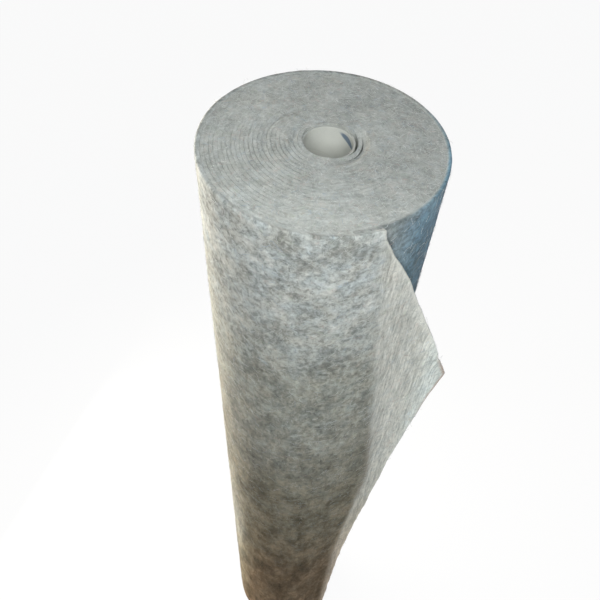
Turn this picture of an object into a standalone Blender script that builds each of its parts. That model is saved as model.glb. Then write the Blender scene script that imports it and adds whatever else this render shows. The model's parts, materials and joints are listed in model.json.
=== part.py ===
"""A roll of needle-punched geotextile felt, standing on its end.

The felt is one long strip, wound in a spiral round a paperboard tube. A strip of double-sided
tape holds its start to the tube. Its loose end leaves the outermost turn, stands away from the
roll and swings about the upright line where it leaves. Lengths are in metres and +Z is up. The
roll stands on the plane z = 0, with the middle of its footprint over the origin.

A bearing is an angle seen from above, from the front (-Y) towards the right (+X). The felt winds
outwards that way.
"""

import math

import bmesh
import bpy
import numpy as np

# The roll as a whole
sheet_width = 1.600  # the width of the felt, which is the height of the standing roll
roll_diameter = 0.260
felt_thickness = 0.00335
turn_gap = 0.00081  # air between one turn and the next
turn_steps = 36  # flat faces to one turn

# The paperboard tube in the middle
bore_diameter = 0.0508
tube_wall = 0.002
tube_recess = 0.003  # each end of the tube lies this far inside the end of the felt
mouth_bevel = 0.0006
tube_steps = 60
tube_offset = 0.0076  # from the middle of the outermost turn to the middle of the tube,
tube_offset_bearing = math.radians(149)  # because the turns were drawn tighter on this side

# The tape under the start of the felt
tape_width = 0.050
tape_thickness = 0.0003
tape_recess = 0.006
seat_clearance = 0.0003  # between two pieces that lie against each other

# Places where the turns lie slack, so that a dark gap shows in the end of the roll. Each row has
# the bearing of its middle and its reach each way, in degrees, how far out it starts, as a share
# of the roll's radius, and how wide it opens, as a share of the widest opening.
slack_opening = 0.0024
slack_turns = 12  # the turns outside a slack place that take it up again
slack_place_shares = (
    (75, 62, 0.27, 1.0),
    (270, 36, 0.27, 0.4),
    (255, 58, 0.50, 0.6),
)

# The loose end of the felt
hinge_bearing = math.radians(20)  # where the outer turn ends and the loose end begins
leave_bearing = math.radians(26)  # where the loose end leaves the turn beneath it
set_radius = 1.080  # the bend that the felt keeps after it has left the roll
rim_reach = 0.0105  # along the felt, from the hinge line to the cut edge: at the top,
tip_reach = 0.168  # at the tip
foot_reach = 0.068  # and at the floor
tip_drop = 0.338  # the tip lies this far below the top of the roll
foot_lift = 0.001  # the loose end hangs this far clear of the floor
upper_edge_power = 0.855  # the upper edge is cut nearly straight
lower_edge_power = 2.6  # the lower edge sweeps back in towards the roll
upper_rows = 9
lower_rows = 13
reach_steps = 14

# Sizes that follow from those above
roll_radius = roll_diameter / 2
tube_radius = bore_diameter / 2 + tube_wall
turn_pitch = felt_thickness + turn_gap
start_radius = tube_radius + 2 * seat_clearance + tape_thickness + felt_thickness / 2
end_radius = roll_radius - felt_thickness / 2
full_turn = 2 * math.pi
start_angle = hinge_bearing - full_turn * (end_radius - start_radius) / turn_pitch


def even_radius(angle):
    """Radius of the middle of the felt at a winding angle, as if no turn were slack."""
    return end_radius + turn_pitch * (angle - hinge_bearing) / full_turn


def slack(angle):
    """How far the slack places push the felt out at a winding angle."""
    pushed = 0
    for bearing, reach, radius_share, opening_share in slack_place_shares:
        middle = math.radians(bearing)
        middle += full_turn * round((angle - middle) / full_turn)
        beside = abs(angle - middle) / math.radians(reach)
        turns_out = (even_radius(middle) - radius_share * roll_radius) / turn_pitch
        if beside < 1 and turns_out >= 0:
            left_share = max(0, 1 - math.floor(turns_out) / slack_turns)
            window_share = math.cos(beside * math.pi / 2) ** 2
            pushed += slack_opening * opening_share * left_share * window_share
    return pushed


def on_bearing(radius, angle):
    """The point of the ground plan at a radius and a bearing."""
    return np.array([radius * math.sin(angle), -radius * math.cos(angle)])


tube_middle = on_bearing(tube_offset, tube_offset_bearing)


def turn_middle(angle):
    """The middle of the turn at a winding angle: the tube's at the start, the roll's at the end."""
    left_share = (hinge_bearing - angle) / (hinge_bearing - start_angle)
    return tube_middle * max(0, left_share)


def wound_plan():
    """The two sides of the wound felt in plan: (points, inner or outer side, x and y)."""
    step = full_turn / turn_steps
    end_angle = hinge_bearing - seat_clearance / 2 / end_radius
    first = math.floor(start_angle / step) + 1
    last = math.ceil(end_angle / step) - 1
    angles = [start_angle, *(k * step for k in range(first, last + 1)), end_angle]
    sides = []
    for angle in angles:
        radius = even_radius(angle) + slack(angle)
        inner = turn_middle(angle) + on_bearing(radius - felt_thickness / 2, angle)
        outer = turn_middle(angle) + on_bearing(radius + felt_thickness / 2, angle)
        sides.append((inner, outer))
    return np.array(angles), np.array(sides)


def loose_plan(along):
    """The two sides of the loose end in plan, at a distance along the felt from the hinge line."""
    start = hinge_bearing + seat_clearance / 2 / end_radius
    lap = (leave_bearing - start) * end_radius
    if along <= lap:
        angle = start + along / end_radius
        middle, out = on_bearing(even_radius(angle), angle), angle
    else:
        bend = (along - lap) / set_radius
        centre = on_bearing(even_radius(leave_bearing) - set_radius, leave_bearing)
        out = leave_bearing + bend
        middle = centre + on_bearing(set_radius, out)
    across = on_bearing(felt_thickness / 2, out)
    return middle - across, middle + across


def loose_reach(drop):
    """How far the loose end reaches along the felt, at a depth below the top of the roll."""
    if drop <= tip_drop:
        share = (drop / tip_drop) ** upper_edge_power
        return rim_reach + (tip_reach - rim_reach) * share
    share = (1 - (drop - tip_drop) / (sheet_width - tip_drop)) ** lower_edge_power
    return foot_reach + (tip_reach - foot_reach) * share


def material(name, colour, roughness):
    """A plain matt material."""
    made = bpy.data.materials.new(name)
    made.use_nodes = True
    shader = made.node_tree.nodes["Principled BSDF"]
    shader.inputs["Base Color"].default_value = (*colour, 1)
    shader.inputs["Roughness"].default_value = roughness
    shader.inputs["Metallic"].default_value = 0
    return made


def add_object(name, mesh, finish, origin):
    """Puts a mesh whose points are measured from the roll's axis into the scene."""
    for vertex in mesh.vertices:
        vertex.co.x -= origin[0]
        vertex.co.y -= origin[1]
    mesh.materials.append(finish)
    mesh.shade_smooth()
    mesh.set_sharp_from_angle(angle=math.radians(35))
    made = bpy.data.objects.new(name, mesh)
    made.location = (origin[0], origin[1], 0)
    bpy.context.scene.collection.objects.link(made)
    return made


def sheet_mesh(name, grid):
    """A closed sheet from a grid of points: (rows, columns, inner or outer side, x, y and z)."""
    rows, columns = grid.shape[:2]
    bm = bmesh.new()
    points = [[[bm.verts.new(side) for side in column] for column in row] for row in grid]
    for i in range(rows - 1):
        for j in range(columns - 1):
            low, high = points[i], points[i + 1]
            bm.faces.new((low[j][1], low[j + 1][1], high[j + 1][1], high[j][1]))
            bm.faces.new((low[j + 1][0], low[j][0], high[j][0], high[j + 1][0]))
    for j in range(columns - 1):
        low, high = points[0], points[-1]
        bm.faces.new((low[j][0], low[j + 1][0], low[j + 1][1], low[j][1]))
        bm.faces.new((high[j + 1][0], high[j][0], high[j][1], high[j + 1][1]))
    for i in range(rows - 1):
        low, high = points[i], points[i + 1]
        bm.faces.new((low[0][0], low[0][1], high[0][1], high[0][0]))
        bm.faces.new((low[-1][1], low[-1][0], high[-1][0], high[-1][1]))
    mesh = bpy.data.meshes.new(name)
    bm.to_mesh(mesh)
    bm.free()
    return mesh


def upright(plan, low, high):
    """The grid of a sheet that stands between two heights, from its two sides in plan."""
    rows = [np.insert(plan, 2, height, axis=2) for height in (low, high)]
    return np.array(rows)


def core_tube():
    """The paperboard tube: its wall's section turned round the axis, with eased mouths."""
    low, high = tube_recess, sheet_width - tube_recess
    bore, outside = bore_diameter / 2, tube_radius
    section = (
        (outside, low),
        (outside, high),
        (bore + mouth_bevel, high),
        (bore, high - mouth_bevel),
        (bore, low + mouth_bevel),
        (bore + mouth_bevel, low),
    )
    bm = bmesh.new()
    rings = []
    for k in range(tube_steps):
        angle = k * full_turn / tube_steps
        plan = [tube_middle + on_bearing(radius, angle) for radius, z in section]
        rings.append([bm.verts.new((*at, z)) for at, (radius, z) in zip(plan, section)])
    for k in range(tube_steps):
        here, there = rings[k], rings[(k + 1) % tube_steps]
        for j in range(len(section)):
            after = (j + 1) % len(section)
            bm.faces.new((here[j], there[j], there[after], here[after]))
    mesh = bpy.data.meshes.new("core_tube")
    bm.to_mesh(mesh)
    bm.free()
    return mesh


def start_tape():
    """The tape: it lies on the tube, under the start of the felt."""
    inner = tube_radius + seat_clearance
    outer = inner + tape_thickness
    step = full_turn / tube_steps
    end_angle = start_angle + tape_width / outer
    first = math.floor(start_angle / step) + 1
    last = math.ceil(end_angle / step) - 1
    angles = [start_angle, *(k * step for k in range(first, last + 1)), end_angle]
    plan = tube_middle + np.array([(on_bearing(inner, a), on_bearing(outer, a)) for a in angles])
    return sheet_mesh("start_tape", upright(plan, tape_recess, sheet_width - tape_recess))


def wound_felt():
    """The wound felt: one unbroken strip from the tape to the hinge line."""
    plan = wound_plan()[1]
    return sheet_mesh("wound_felt", upright(plan, 0, sheet_width))


def free_end():
    """The loose end: it leaves the roll along an upright line and has its end cut to a tip."""
    upper = [tip_drop * k / upper_rows for k in range(upper_rows)]
    under_tip = sheet_width - foot_lift - tip_drop
    lower = [tip_drop + under_tip * (k / lower_rows) ** 1.4 for k in range(lower_rows + 1)]
    grid = []
    for drop in reversed(upper + lower):
        reach = loose_reach(drop)
        plan = [loose_plan(reach * k / reach_steps) for k in range(reach_steps + 1)]
        grid.append(np.insert(np.array(plan), 2, sheet_width - drop, axis=2))
    return sheet_mesh("free_end", np.array(grid))


def from_segments(points, starts, ends):
    """The distance from each point to each segment, in plan."""
    along = ends - starts
    away = points[:, None] - starts[None]
    share = np.clip((away * along).sum(-1) / (along * along).sum(-1), 0, 1)
    return np.linalg.norm(away - share[..., None] * along, axis=-1)


def least_gap():
    """The least gap between neighbouring turns of the wound felt, and under the loose end."""
    angles, sides = wound_plan()
    inner, outer = sides[:, 0], sides[:, 1]
    apart = from_segments(outer, inner[:-1], inner[1:])
    same_turn = abs(angles[:, None] - angles[None, :-1]) < math.pi
    apart[same_turn] = roll_diameter
    loose = [loose_plan(tip_reach * k / reach_steps)[0] for k in range(reach_steps + 1)]
    under = from_segments(np.array(loose), outer[:-1], outer[1:])
    under[:, angles[:-1] > hinge_bearing - math.pi] = roll_diameter
    return apart.min(), under.min()


def build():
    for old in list(bpy.data.objects):
        bpy.data.objects.remove(old)
    felt = material("grey_felt", (0.36, 0.38, 0.36), 1.0)
    board = material("paperboard", (0.46, 0.46, 0.41), 0.85)
    tape = material("tape_film", (0.62, 0.58, 0.46), 0.5)
    axis = (0, 0)
    hinge = on_bearing(roll_radius, hinge_bearing)
    pieces = [
        add_object("core_tube", core_tube(), board, tube_middle),
        add_object("start_tape", start_tape(), tape, tube_middle),
        add_object("wound_felt", wound_felt(), felt, axis),
        add_object("free_end", free_end(), felt, hinge),
    ]
    # The middle of the footprint comes over the origin, so the roll's axis lies to one side.
    corners = []
    for piece in pieces:
        points = np.array([vertex.co for vertex in piece.data.vertices])
        corners.append(points[:, :2] + np.array(piece.location)[:2])
    footprint = np.concatenate(corners)
    middle = (footprint.min(axis=0) + footprint.max(axis=0)) / 2
    for piece in pieces:
        piece.location.x -= middle[0]
        piece.location.y -= middle[1]
    turns = (hinge_bearing - start_angle) / full_turn
    between, beneath = least_gap()
    print(f"axis at {-middle[0]:.6f} {-middle[1]:.6f}")
    print(f"tube at {tube_middle[0] - middle[0]:.6f} {tube_middle[1] - middle[1]:.6f}")
    print(f"hinge line at {hinge[0] - middle[0]:.6f} {hinge[1] - middle[1]:.6f}")
    print(f"turns {turns:.2f}, least gap between turns {between * 1000:.2f} mm")
    print(f"least gap under the loose end {beneath * 1000:.2f} mm")


build()
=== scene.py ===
"""A roll of grey needle-punched geotextile felt on a paperboard tube, standing on its end.

Lengths are in metres. A bearing is an angle seen from above, from the front (-Y) towards the
right (+X), and the felt winds outwards that way.
"""

import json
import math

import bmesh
import bpy
from mathutils import Matrix, Vector
from mathutils.noise import noise as wander


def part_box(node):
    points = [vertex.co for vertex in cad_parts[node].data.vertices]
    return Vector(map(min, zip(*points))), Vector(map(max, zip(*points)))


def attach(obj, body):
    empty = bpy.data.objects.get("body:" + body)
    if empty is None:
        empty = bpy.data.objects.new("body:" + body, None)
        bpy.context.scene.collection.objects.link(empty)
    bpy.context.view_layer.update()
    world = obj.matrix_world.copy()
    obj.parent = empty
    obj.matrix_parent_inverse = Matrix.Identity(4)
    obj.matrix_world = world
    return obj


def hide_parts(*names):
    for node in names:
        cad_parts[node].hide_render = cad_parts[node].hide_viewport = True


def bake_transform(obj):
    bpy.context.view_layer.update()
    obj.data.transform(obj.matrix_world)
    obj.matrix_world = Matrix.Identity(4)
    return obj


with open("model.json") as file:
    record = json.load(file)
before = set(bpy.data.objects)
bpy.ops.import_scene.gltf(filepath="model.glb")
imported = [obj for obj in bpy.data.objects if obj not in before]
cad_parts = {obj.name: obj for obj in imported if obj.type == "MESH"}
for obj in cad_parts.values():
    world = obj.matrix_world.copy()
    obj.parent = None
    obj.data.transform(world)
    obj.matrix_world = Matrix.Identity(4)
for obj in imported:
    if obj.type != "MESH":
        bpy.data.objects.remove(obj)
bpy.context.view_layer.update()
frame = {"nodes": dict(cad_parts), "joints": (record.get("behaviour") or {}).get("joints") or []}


# The paperboard tube that the felt is wound on. It is made of strips of board wound on a
# slant and glued, so it is stiff, smooth and pale inside, with a faint slanting seam.

tube_low, tube_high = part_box("core_tube")
tube_middle = (tube_low + tube_high) / 2
tube_radius = (tube_high.x - tube_low.x) / 2
seam_lead = 0.095
seam_width = 0.0012
board_grain = 0.0012
full_turn = 2 * math.pi


def linear(hex_colour):
    """The linear RGBA of an sRGB colour such as #a4a8a3."""
    levels = [int(hex_colour[k:k + 2], 16) / 255 for k in (1, 3, 5)]
    return (*((v / 12.92 if v <= 0.04045 else ((v + 0.055) / 1.055) ** 2.4) for v in levels), 1)


def add_node(tree, kind, inputs=(), output=0, **settings):
    """Adds a node with its settings. Its inputs are values, colours in hex or sockets, in order
    or by name or number. Gives one of its outputs, or all of them if output is None."""
    made = tree.nodes.new(kind)
    for name, value in settings.items():
        setattr(made, name, value)
    numbered = inputs if isinstance(inputs, dict) else dict(enumerate(inputs))
    for name, value in numbered.items():
        if isinstance(value, bpy.types.NodeSocket):
            tree.links.new(value, made.inputs[name])
        elif isinstance(value, str) and value.startswith("#"):
            made.inputs[name].default_value = linear(value)
        else:
            made.inputs[name].default_value = value
    return made.outputs if output is None else made.outputs[output]


def new_finish(name):
    """An empty material with a Principled shader, for its section to fill in."""
    made = bpy.data.materials.new(name)
    made.use_nodes = True
    return made, made.node_tree, made.node_tree.nodes["Principled BSDF"]


def faded(tree, value, place, start, end, at_start=0.0, at_end=1.0):
    """A value times a share that changes smoothly as a place goes from start to end."""
    share = add_node(
        tree, "ShaderNodeMapRange", (place, start, end, at_start, at_end),
        interpolation_type="SMOOTHSTEP",
    )
    return add_node(tree, "ShaderNodeMath", (value, share), operation="MULTIPLY")


def paperboard():
    """Board with a pale liner: matt, with short lying fibres, a slanting ply seam, grey sawn plies
    at the ends, painted light further down the bore, and a painted shadow, a dark bluish sliver,
    inside the upper end."""
    made, tree, shader = new_finish("paperboard")
    place = add_node(tree, "ShaderNodeTexCoord", output="Object")
    centred = add_node(tree, "ShaderNodeVectorMath", (place, tube_middle), operation="SUBTRACT")
    x, y, z = add_node(tree, "ShaderNodeSeparateXYZ", (centred,), output=None)
    around = add_node(tree, "ShaderNodeMath", (x, y), operation="ARCTAN2")
    climb = add_node(
        tree, "ShaderNodeMath", (around, seam_lead / full_turn, z), operation="MULTIPLY_ADD"
    )
    from_seam = add_node(tree, "ShaderNodeMath", (climb, seam_lead, 0.0), operation="WRAP")
    seam = add_node(
        tree, "ShaderNodeMapRange", (from_seam, 0.0, seam_width, 1.0, 0.0),
        interpolation_type="SMOOTHSTEP",
    )
    # The board's face has short fibres, and clouds some 20 mm across.
    grain = add_node(
        tree, "ShaderNodeTexNoise",
        {"Vector": centred, "Scale": 1 / board_grain, "Detail": 3.0, "Roughness": 0.6},
    )
    cloud = add_node(tree, "ShaderNodeTexNoise", {"Vector": centred, "Scale": 45.0, "Detail": 2.0})
    mottle = add_node(tree, "ShaderNodeMath", (grain, cloud), operation="ADD")
    tone = add_node(tree, "ShaderNodeMapRange", (mottle, 0.6, 1.4))
    # In a Mix node for colours, input 0 is the factor, 6 and 7 are the colours, and output 2 is
    # their mix.
    board = add_node(
        tree, "ShaderNodeMix", {0: tone, 6: "#bfc0b7", 7: "#cdcec5"}, output=2, data_type="RGBA"
    )
    board = add_node(
        tree, "ShaderNodeMix", {0: seam, 6: board, 7: "#bbbaae"}, output=2, data_type="RGBA"
    )
    # Painted light: the board is painted paler further down the bore, where it would lie in shade.
    from_end = add_node(
        tree, "ShaderNodeMath", ((tube_high.z - tube_low.z) / 2, z), operation="SUBTRACT"
    )
    painted_bore_light = add_node(tree, "ShaderNodeMapRange", (from_end, 0.005, 0.06, 0.0, 0.45))
    board = add_node(
        tree, "ShaderNodeMix", {0: painted_bore_light, 6: board, 7: "#eeeee6"}, output=2, data_type="RGBA"
    )
    # The painted shadow is a dark bluish slanting sliver on the inner wall, ragged at its edge.
    aside = add_node(tree, "ShaderNodeMath", (around, 2.2, -2.05), operation="MULTIPLY_ADD")
    slant = add_node(tree, "ShaderNodeMath", (around, 2.4, 0.40), operation="MULTIPLY_ADD")
    below = add_node(tree, "ShaderNodeMath", (from_end, 300.0), operation="MULTIPLY")
    below = add_node(tree, "ShaderNodeMath", (below, slant), operation="SUBTRACT")
    spread = add_node(tree, "ShaderNodeMath", (below, below), operation="MULTIPLY")
    spread = add_node(tree, "ShaderNodeMath", (aside, aside, spread), operation="MULTIPLY_ADD")
    ragged = add_node(tree, "ShaderNodeMath", (cloud, 1.6, spread), operation="MULTIPLY_ADD")
    squared = add_node(tree, "ShaderNodeMath", (y, y), operation="MULTIPLY")
    squared = add_node(tree, "ShaderNodeMath", (x, x, squared), operation="MULTIPLY_ADD")
    from_axis = add_node(tree, "ShaderNodeMath", (squared,), operation="SQRT")
    inner_wall = add_node(
        tree, "ShaderNodeMapRange", (from_axis, tube_radius - 0.0006, tube_radius - 0.0012),
        interpolation_type="SMOOTHSTEP",
    )
    painted_shadow = faded(tree, inner_wall, ragged, 2.3, 1.2, 0.0, 0.9)
    board = add_node(
        tree, "ShaderNodeMix", {0: painted_shadow, 6: board, 7: "#5d7082"}, output=2, data_type="RGBA"
    )
    sawn = add_node(
        tree, "ShaderNodeMapRange", (from_end, 0.0006, 0.0002), interpolation_type="SMOOTHSTEP"
    )
    board = add_node(
        tree, "ShaderNodeMix", {0: sawn, 6: board, 7: "#a9aaa3"}, output=2, data_type="RGBA"
    )
    tree.links.new(board, shader.inputs["Base Color"])
    shader.inputs["Roughness"].default_value = 0.8
    bump = add_node(tree, "ShaderNodeBump", {"Height": grain, "Strength": 0.25, "Distance": 0.0003})
    tree.links.new(bump, shader.inputs["Normal"])
    return made


def give_finish(piece, finish):
    """Puts one material on a piece in place of what it had."""
    piece.data.materials.clear()
    piece.data.materials.append(finish)


give_finish(frame["nodes"]["core_tube"], paperboard())


# The double-sided tape that holds the start of the felt to the tube. Only its upper edge can be
# seen, down in the gap: a thin yellowish film with adhesive on both faces.


def tape_film():
    """Clear film with a yellowish adhesive: smooth, a little glossy, with wrinkles 6 mm apart."""
    made, tree, shader = new_finish("tape_film")
    place = add_node(tree, "ShaderNodeTexCoord", output="Object")
    wrinkles = add_node(
        tree, "ShaderNodeTexNoise", {"Vector": place, "Scale": 180.0, "Detail": 2.0}
    )
    film = add_node(
        tree, "ShaderNodeMix", {0: wrinkles, 6: "#b9a878", 7: "#d2c69c"}, output=2, data_type="RGBA"
    )
    tree.links.new(film, shader.inputs["Base Color"])
    shader.inputs["Roughness"].default_value = 0.35
    return made


give_finish(frame["nodes"]["start_tape"], tape_film())


# The felt of the inner turns: one long strip of polyester and polypropylene fibres, carded,
# needle-punched into a soft mat and wound tight on the tube, with a few turns lying slack.

def on_bearing(radius, angle):
    """A step of a given length along a bearing, in plan."""
    return Vector((radius * math.sin(angle), -radius * math.cos(angle), 0))


def within_one(share):
    """A share, held between 0 and 1."""
    return min(1, max(0, share))


tube_offset = on_bearing(0.0076, math.radians(149))  # the felt is wound tighter on that side
axis = Vector((tube_middle.x, tube_middle.y, 0)) - tube_offset
hinge = Vector(frame["joints"][0]["pos_m"])
hinge_away = hinge - axis
hinge_bearing = math.atan2(hinge_away.x, -hinge_away.y)
roll_radius = hinge_away.xy.length
roll_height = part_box("wound_felt")[1].z
felt_thickness = 0.00335
turn_pitch = 0.00416
tape_gap = 0.0006  # the tape and the play beneath it
start_radius = tube_radius + tape_gap + felt_thickness / 2
end_radius = roll_radius - felt_thickness / 2
start_angle = hinge_bearing - full_turn * (end_radius - start_radius) / turn_pitch
under_lap = hinge_bearing - math.radians(365)  # the inner turns end under the lap of the last
hugging_turns = 12  # the turns that take up the step at the start of the felt
climb_from = 0.78  # the share of a turn past which the felt climbs over that step
slack_opening = 0.0024
slack_turns = 12  # the turns outside a slack place that take it up again
# Bearing and reach to each side in degrees, how far out the place starts, as a share of the
# roll's radius, and how wide it opens, as a share of the widest opening.
slack_places = ((75, 62, 0.27, 0.6), (258, 55, 0.27, 0.10), (240, 55, 0.48, 0.09))


def even_radius(angle):
    """Radius of the middle of the felt at a winding angle, as if no turn were slack."""
    return end_radius + turn_pitch * (angle - hinge_bearing) / full_turn


def turn_middle(angle):
    """The middle of the turn at a winding angle: the tube's at the start, the roll's at the end."""
    left = (hinge_bearing - angle) / (hinge_bearing - start_angle)
    return axis + tube_offset * max(0, left)


def wound_radius(angle):
    """Radius of the middle of the felt. The first turns hug the tube up to the step at the start
    of the felt, and the slack places push turns out."""
    radius = even_radius(angle)
    turns = (angle - start_angle) / full_turn
    climbed = max(0, (turns % 1 - climb_from) / (1 - climb_from))
    hugging = within_one(1 - (turns - 1) / hugging_turns)
    radius -= turn_pitch * hugging * (turns % 1 - climbed ** 2 * (3 - 2 * climbed))
    for bearing, reach, radius_share, opening_share in slack_places:
        middle = math.radians(bearing)
        middle += full_turn * round((angle - middle) / full_turn)
        beside = abs(angle - middle) / math.radians(reach)
        turns_out = (even_radius(middle) - radius_share * roll_radius) / turn_pitch
        if beside < 1 and turns_out >= 0:
            turn = math.floor(turns_out)
            uneven = 0.9 * wander(Vector((turn * 1.37, bearing, 0)))
            left = max(0, 1 - (turn + uneven) / slack_turns)
            radius += slack_opening * opening_share * left * math.cos(beside * math.pi / 2) ** 2
    return radius


def set_stops(colours, stops, how="LINEAR"):
    """Sets the colours along a colour ramp, each at a place from 0 to 1."""
    colours.node.color_ramp.interpolation = how
    ends = colours.node.color_ramp.elements
    for end, (place, colour) in zip(ends, (stops[0], stops[-1])):
        end.position = place
        end.color = linear(colour)
    for place, colour in stops[1:-1]:
        ends.new(place).color = linear(colour)


def lying_fibres():
    """A group that lays one slightly bent fibre in each cell of a scattered pattern."""
    group = bpy.data.node_groups.new("lying_fibres", "ShaderNodeTree")
    sockets = (
        ("Place", "Vector"), ("Lie", "Float"), ("Spread", "Float"), ("Spacing", "Float"),
        ("Half Length", "Float"), ("Half Width", "Float"), ("Shift", "Float"),
    )
    for name, kind in sockets:
        group.interface.new_socket(name, in_out="INPUT", socket_type="NodeSocket" + kind)
    for name in ("Fibre", "Own"):
        group.interface.new_socket(name, in_out="OUTPUT", socket_type="NodeSocketFloat")
    given = add_node(group, "NodeGroupInput", output=None)
    cells = add_node(group, "ShaderNodeMath", (1.0, given["Spacing"]), operation="DIVIDE")
    scaled = add_node(
        group, "ShaderNodeVectorMath", {0: given["Place"], "Scale": cells}, operation="SCALE"
    )
    shift = add_node(group, "ShaderNodeCombineXYZ", (given["Shift"],))
    shifted = add_node(group, "ShaderNodeVectorMath", (scaled, shift), operation="ADD")
    cell = add_node(
        group, "ShaderNodeTexVoronoi", {"Vector": shifted, "Scale": 1.0, "Randomness": 1.0},
        output=None, voronoi_dimensions="2D",
    )
    away = add_node(
        group, "ShaderNodeVectorMath", (shifted, cell["Position"]), operation="SUBTRACT"
    )
    away = add_node(
        group, "ShaderNodeVectorMath", {0: away, "Scale": given["Spacing"]}, operation="SCALE"
    )
    own = add_node(group, "ShaderNodeSeparateColor", {0: cell["Color"]}, output=None)
    swing = add_node(
        group, "ShaderNodeMath", (own[0], given["Spread"], given["Lie"]), operation="MULTIPLY_ADD"
    )
    turned = add_node(
        group, "ShaderNodeVectorRotate", {"Vector": away, "Angle": swing}, rotation_type="Z_AXIS"
    )
    lengthways, sideways, _ = add_node(group, "ShaderNodeSeparateXYZ", (turned,), output=None)
    bend = add_node(group, "ShaderNodeMapRange", (own[1], 0.0, 1.0, -70.0, 70.0))
    curve = add_node(group, "ShaderNodeMath", (lengthways, lengthways), operation="MULTIPLY")
    across = add_node(group, "ShaderNodeMath", (curve, bend, sideways), operation="MULTIPLY_ADD")
    masks = []
    for distance, size, soft in ((across, "Half Width", 0.3), (lengthways, "Half Length", 0.55)):
        share = add_node(group, "ShaderNodeMath", (distance,), operation="ABSOLUTE")
        share = add_node(group, "ShaderNodeMath", (share, given[size]), operation="DIVIDE")
        masks.append(
            add_node(
                group, "ShaderNodeMapRange", (share, soft, 1.0, 1.0, 0.0),
                interpolation_type="SMOOTHSTEP",
            ),
        )
    shape = add_node(group, "ShaderNodeMath", (masks[0], masks[1]), operation="MULTIPLY")
    strength = add_node(group, "ShaderNodeMapRange", (own[2], 0.0, 1.0, 0.35, 1.0))
    shown = add_node(group, "ShaderNodeMath", (shape, strength), operation="MULTIPLY")
    add_node(group, "NodeGroupOutput", (shown, own[2]), output=None)
    return group


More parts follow.
